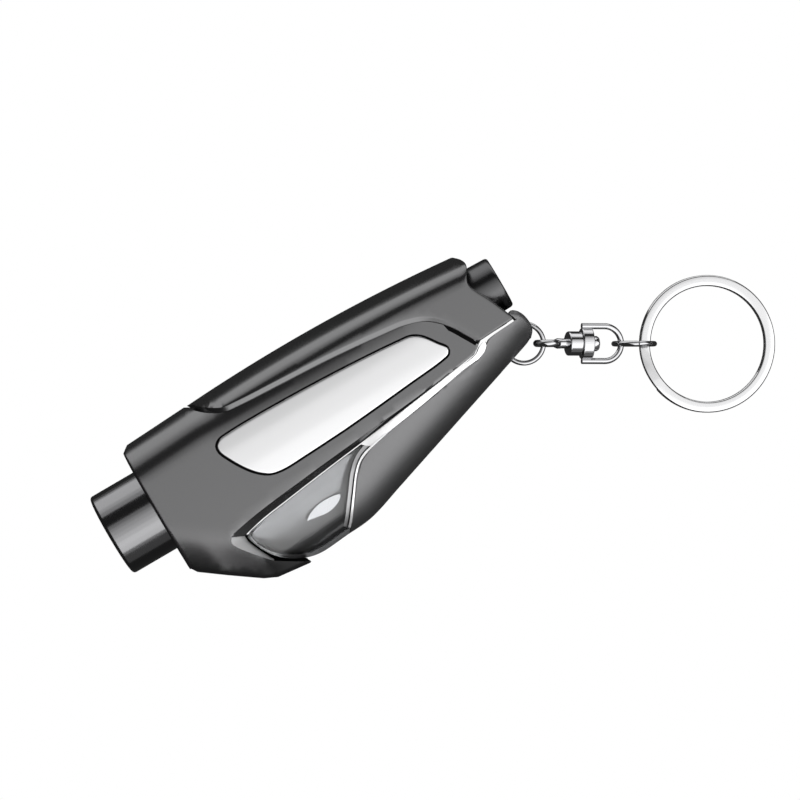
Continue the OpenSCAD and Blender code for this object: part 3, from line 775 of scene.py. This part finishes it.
def build_clip():
    loop = clip_loop()
    flat, faces = plan(loop, (0.05, 0.15, 0.35, 0.7), step=1.1)
    front = smooth(
        (37.3, -21.25), (39, -19.3), (41.6, -15.9), (44.2, -12.5), (47.2, -10.35), (60, -7.9), (73, -5.85),
        (76.4, -3.75), (82.4, -3.1),
    )
    rear = [p for p in TAIL if p[0] > 82.7]
    top = keel_height(flat, CLIP, 8.8)
    top = top - edge_round(distance(flat, front), 0.15)
    top = top - edge_round(distance(flat, rear), 1.2) - swell(distance(flat, rear), 4, 0.8)
    top = np.maximum(top, 0.05)
    half = between(flat, faces, top, np.full(len(flat), 0.005))
    inner = closed(offset([p for p in KEEL if p[0] < 80], 1.0), [(75.7, 10), (15, 10), (15, -15)])
    inner = [p for p in inner if p[0] <= 75.7]
    flat, faces = plan(inner, (0.1, 0.3, 0.7), step=1.4)
    low = np.maximum(keel_height(flat, GUARD + 0.1, 8.5, 0.9), 0.02)
    hollow = between(flat, faces, low, -low)
    centre = RING1 - 2 * Vector((math.cos(PHOTO_TILT), math.sin(PHOTO_TILT), 0))
    disc_verts, disc_faces = rod(6.2, -0.6, 0.6)
    slot = [(centre.x + y, centre.y + z, x) for x, y, z in disc_verts], disc_faces
    for side, part in (("left", half), ("right", flipped(*half))):
        shell = add(f"clip_{side}", *part)
        cut(shell, hollow, slot)
        finish_piece(shell, GUNMETAL, "clip", f"clip_{side}_shell", slot="gloss_black")


# ---------- sleeve and lamp ----------


def build_sleeve():
    r = SLEEVE_R
    profile = [
        (0.0, 2.5), (0.0, r - 0.55), (0.08, r - 0.28), (0.28, r - 0.08), (0.55, r), (0.75, r), (9.2, r),
        (9.4, r), (9.42, r - 0.4), (SLEEVE_LEN, r - 0.4), (SLEEVE_LEN, r - 1.9), (2.4, r - 1.9), (2.4, 2.2),
        (0.3, 2.2),
    ]
    lug = block(14, -9.5, -3, SLEEVE_LEN, 9.5, 3)
    sleeve = add("sleeve_body", *joined(revolved(profile, 128)))
    bore = rod(r - 1.9, 13, 18)
    wings = add("sleeve_lugs", *lug)
    cut(wings, bore)
    finish_piece(sleeve, CHROME_DARK, "sleeve", "press_sleeve", slot="black_chrome", angle=40)
    finish_piece(wings, CHROME_DARK, "sleeve", "press_sleeve", slot="black_chrome")


def build_springs():
    """Coil springs of the punch, close-wound at both ends, each filling its CAD spring's box."""
    for node, joint, travel, wire, turns in (
        ("sleeve_spring", "sleeve_press", 7.5, 0.45, 9),
        ("pin_spring", "punch_slide", 6.3, 0.25, 6),
        ("main_spring", "hammer_slide", 7.5, 0.36, 6),
    ):
        low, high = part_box(node)
        front, rear = low[0] / MM + wire, high[0] / MM - wire
        radius = (high[1] - low[1]) / 2 / MM - wire
        path = []
        for i in range(turns * 28 + 1):
            turn = i / 28
            rest = min(max((turn - 0.9) / (turns - 1.8), 0), 1)
            x = front + 2 * wire * (min(turn, 0.9) - 0.9) + 1.8 * wire
            x += rest * (rear - front - 3.6 * wire) + 2 * wire * max(turn - turns + 0.9, 0)
            a = 2 * math.pi * turn
            path.append((x, radius * math.cos(a), radius * math.sin(a)))
        piece = add(f"{node}_wire", *swept(path, circle(wire, 10), Vector((1, 0, 0))))
        finish_piece(piece, SPRING, "casing", node, slot="spring_steel", angle=50)
        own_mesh(piece)


def build_lamp():
    r, back = LAMP_R, LAMP_BACK
    profile = [
        (70.2, 4.2), (70.2, r), (71, r), (71, 6), (72.6, 6), (72.6, r), (77, r), (77.2, r - 0.01),
        (back - 0.75, r - 0.19), (back - 0.55, r - 0.2), (back - 0.25, r - 0.28), (back - 0.06, r - 0.45),
        (back, r - 0.6), (back, 4.35), (back - 0.15, 4.2),
    ]
    head = add("lamp_bezel", *revolved(profile, 128, LAMP_Y))
    finish_piece(head, CAP, "lamp", "lamp_head", slot="gloss_black", angle=40)


# ---------- chain ----------


def chain_point(along, up=0.0, side=0.0):
    """Point at a distance along the level line of the chain."""
    c, s = math.cos(PHOTO_TILT), math.sin(PHOTO_TILT)
    return RING1 + Vector((along * c - side * s, along * s + side * c, up))


def wire_ring(centre, u, v, radius, wire, gap=0.0, start=0.0):
    """Ring of round wire in the plane of u and v, open by a gap in degrees."""
    span, count = 360 - gap, 96
    steps = range(count + 1 if gap else count)
    angles = [math.radians(start + gap / 2 + span * i / count) for i in steps]
    path = [centre + radius * (math.cos(a) * u + math.sin(a) * v) for a in angles]
    return swept(path, circle(wire), u.cross(v), loop=not gap)


def build_rings():
    ahead = Vector((math.cos(PHOTO_TILT), math.sin(PHOTO_TILT), 0))
    side = Vector((-ahead.y, ahead.x, 0))
    up = Vector((0, 0, 1))
    first = add("first_jump_ring", *wire_ring(RING1, ahead, side, 3.55, 0.45, 2.5, 118))
    finish_piece(first, CHAIN, "first_ring", "clip_ring", slot="chain_chrome", angle=50)
    link_s = 3.55 + SWIVEL_LEN * math.cos(SWIVEL_SLOPE) + 2.41
    link_z = -SWIVEL_LEN * math.sin(SWIVEL_SLOPE) - 0.43
    link = add("second_jump_ring", *wire_ring(chain_point(link_s, link_z), ahead, up, 3.65, 0.5, 2.5, 80))
    finish_piece(link, CHAIN, "second_ring", "link_ring", slot="chain_chrome", angle=50)
    lean = math.cos(KEY_SLOPE) * ahead - math.sin(KEY_SLOPE) * up
    normal = math.sin(KEY_SLOPE) * ahead + math.cos(KEY_SLOPE) * up
    centre = chain_point(link_s + 13.45 * math.cos(KEY_SLOPE), link_z - 13.45 * math.sin(KEY_SLOPE))
    key = add("split_ring", *split_ring(centre, lean, side, normal))
    finish_piece(key, NICKEL, "key_ring", "key_ring", slot="key_ring_nickel", angle=50)


def split_ring(centre, u, v, n):
    """Flat wire wound twice, stepping from the lower turn to the upper one."""
    path = []
    start, end, ramp, count = 22, 698, 20, 400
    for i in range(count + 1):
        a = start + (end - start) * i / count
        t = min(max((a - 360 + ramp) / (2 * ramp), 0), 1)
        height = 0.4 * (2 * t * t * (3 - 2 * t) - 1)
        angle = math.radians(a + 200)
        path.append(centre + KEY_R * (math.cos(angle) * u + math.sin(angle) * v) + height * n)
    section_points = []
    for cx, cy, a0 in ((0.63, 0.02, 0), (-0.63, 0.02, 90), (-0.63, -0.02, 180), (0.63, -0.02, 270)):
        for k in range(5):
            a = math.radians(a0 + 22.5 * k)
            section_points.append((cx + 0.37 * math.cos(a), cy + 0.37 * math.sin(a)))
    return swept(path, section_points, n)


def on_swivel(verts):
    """Points of the swivel's own frame, X along its shank, put in their place."""
    ahead = Vector((math.cos(PHOTO_TILT), math.sin(PHOTO_TILT), 0))
    side = Vector((-ahead.y, ahead.x, 0))
    c, s = math.cos(SWIVEL_SLOPE), math.sin(SWIVEL_SLOPE)
    x_axis = ahead * c - Vector((0, 0, s))
    z_axis = ahead * s + Vector((0, 0, c))
    origin = chain_point(3.55)
    return [tuple(origin + x * x_axis + y * side + z * z_axis) for x, y, z in verts]


def build_swivel():
    x, y, z = Vector((1, 0, 0)), Vector((0, 1, 0)), Vector((0, 0, 1))
    eye = wire_ring(Vector((0.71, 0, 0)), x, z, 1.9, 0.65)
    shank = revolved([(2.1, 0.02), (2.1, 0.75), (2.6, 0.95), (3.4, 0.9), (9.58, 0.9), (9.58, 0.02)], 32)
    edge = [(4.55, 0.92), (4.55, 2.0), (4.62, 2.14), (4.75, 2.2), (4.85, 2.2)]
    collar = revolved(edge + [(6.75, 2.2), (6.85, 2.2), (6.98, 2.14), (7.05, 2.0), (7.05, 0.92)], 64)
    head = [(9.28, 0.92), (9.28, 1.25), (9.4, 1.38), (10.1, 1.38), (10.4, 1.2), (10.56, 0.8), (10.58, 0.02)]
    rivet = revolved(head + [(9.6, 0.02), (9.6, 0.92)], 48)
    for name, part, node in (
        ("swivel_eye_loop", joined(eye, shank), "swivel_eye"),
        ("swivel_collar_ring", collar, "swivel_collar"),
        ("swivel_rivet_head", rivet, "swivel_rivet"),
    ):
        piece = add(name, on_swivel(part[0]), part[1])
        finish_piece(piece, CHAIN, "swivel", node, slot="chain_chrome", angle=45)
    edge = [(7.15, 0.02), (7.15, 2.6), (7.2, 2.74), (7.3, 2.8), (7.4, 2.8)]
    drum = revolved(edge + [(8.95, 2.8), (9.05, 2.8), (9.15, 2.74), (9.2, 2.6), (9.2, 0.02)], 96)
    bridge = add("swivel_block", on_swivel([(x, y, 0.72 * z) for x, y, z in drum[0]]), drum[1])
    hole = rod(0.95, 6, 10, sides=48)
    cut(bridge, (on_swivel(hole[0]), hole[1]))
    finish_piece(bridge, CHAIN, "bail", "swivel_bridge", slot="chain_chrome", angle=45)
    r, foot, leg = BAIL_R, 7.3, SWIVEL_LEN - BAIL_R
    path = [Vector((foot + (leg - foot) * i / 12, -r, 0)) for i in range(12)]
    turns = [math.radians(a) for a in range(0, 181, 5)]
    path += [Vector((leg + r * math.sin(a), -r * math.cos(a), 0)) for a in turns]
    path += [Vector((foot + (leg - foot) * i / 12, r, 0)) for i in range(11, -1, -1)]
    bail = swept(path, circle(0.55), z)
    piece = add("swivel_bail_wire", on_swivel(bail[0]), bail[1])
    finish_piece(piece, CHAIN, "bail", "swivel_bail", slot="chain_chrome", angle=50)


# ---------- everything in its place ----------

build_casing()
build_cover()
build_plates()
build_screws()
build_crescent()
build_trim()
build_guard()
build_clip()
build_sleeve()
build_springs()
build_lamp()
build_rings()
build_swivel()

KEPT = {
    SCREW: ("button_cells",),
    SPRING: ("contact_spring", "cell_contact"),
    TOOL: ("barrel_tube", "barrel_bush", "punch_pin", "hammer", "barrel_plug", "clip_pin"),
    TIP: ("punch_tip",),
    PLATE: ("lamp_reflector",),
    CLEAR: ("lamp_lens", "lamp_led"),
    BOARD: ("lamp_board",),
    BLADE: ("cutter_blade",),
}
for finish, names in KEPT.items():
    for name in names:
        nodes[name].data.materials.clear()
        nodes[name].data.materials.append(finish)

# ---------- floor, light and camera ----------


def strip(low, high, radiance, reach=0.5, start=-0.13, length=1.3):
    """Long softbox beside the tool's axis, from one angle to another, degrees from straight up towards +Y."""
    middle = math.radians((low + high) / 2)
    half = math.radians((high - low) / 2)
    data = bpy.data.lights.new(f"strip_{low}", "AREA")
    data.shape = "RECTANGLE"
    data.size, data.size_y = length, 2 * reach * math.tan(half)
    data.energy = radiance * math.pi * data.size * data.size_y
    lamp = bpy.data.objects.new(data.name, data)
    back = Vector((0, math.sin(middle), math.cos(middle)))
    lamp.matrix_world = Matrix.Translation(Vector((start + length / 2, 0, 0)) + back * reach) @ Matrix(
        ((1, 0, 0, 0), (0, back.z, back.y, 0), (0, -back.y, back.z, 0), (0, 0, 0, 1))
    )
    lamp.visible_camera = False
    bpy.context.scene.collection.objects.link(lamp)


# from, to, degrees, and how bright each strip is
OVERHEAD = (
    (-95, -66, 0.14), (-66, -57, 0.5), (-57, -42, 2.0), (-42, -26, 2.17), (-26, -14, 1.8), (-14, -4, 1.4),
    (-4, 6, 1.15), (6, 14, 0.85), (14, 23, 0.5),
)
SIDE = ((54, 66, 0.75), (66, 76, 1.15), (76, 112, 1.5), (112, 119, 0.8), (119, 130, 0.15))
for low, high, radiance in OVERHEAD + SIDE:
    strip(low, high, radiance)

floor_mesh = bpy.data.meshes.new("floor")
FLOOR_Z = -REST * MM - 0.0001
corners = [(-6, -6), (6, -6), (6, 6), (-6, 6)]
floor_mesh.from_pydata([(x, y, FLOOR_Z) for x, y in corners], [], [(0, 1, 2, 3)])
floor = bpy.data.objects.new("floor", floor_mesh)
bpy.context.scene.collection.objects.link(floor)
white = bpy.data.materials.new("floor_white")
white.use_nodes = True
glow = white.node_tree.nodes["Principled BSDF"]
glow.inputs["Base Color"].default_value = (0, 0, 0, 1)
glow.inputs["Specular IOR Level"].default_value = 0
glow.inputs["Emission Color"].default_value = (1, 1, 1, 1)
glow.inputs["Emission Strength"].default_value = 1
floor_mesh.materials.append(white)
floor.visible_diffuse = False
floor.visible_glossy = False
floor.visible_shadow = False

world = bpy.data.worlds.new("studio")
bpy.context.scene.world = world
world.use_nodes = True
tree = world.node_tree
background = tree.nodes["Background"]
path = tree.nodes.new("ShaderNodeLightPath")
mix = tree.nodes.new("ShaderNodeMix")
mix.data_type = "RGBA"
mix.inputs["A"].default_value = (0.04, 0.04, 0.04, 1)
mix.inputs["B"].default_value = (0.95, 0.95, 0.95, 1)
tree.links.new(path.outputs["Is Camera Ray"], mix.inputs["Factor"])
tree.links.new(mix.outputs["Result"], background.inputs["Color"])

camera_data = bpy.data.cameras.new("camera")
camera_data.lens = 200
camera_data.sensor_width = 36
camera_data.clip_start, camera_data.clip_end = 0.05, 50
camera = bpy.data.objects.new("camera", camera_data)
bpy.context.scene.collection.objects.link(camera)
camera_place = Matrix.Translation((0.0572, -0.0051, 0.8008))
camera.matrix_world = camera_place @ Matrix.Rotation(PHOTO_TILT, 4, "Z")
bpy.context.scene.camera = camera
bpy.context.scene.view_settings.view_transform = "Standard"
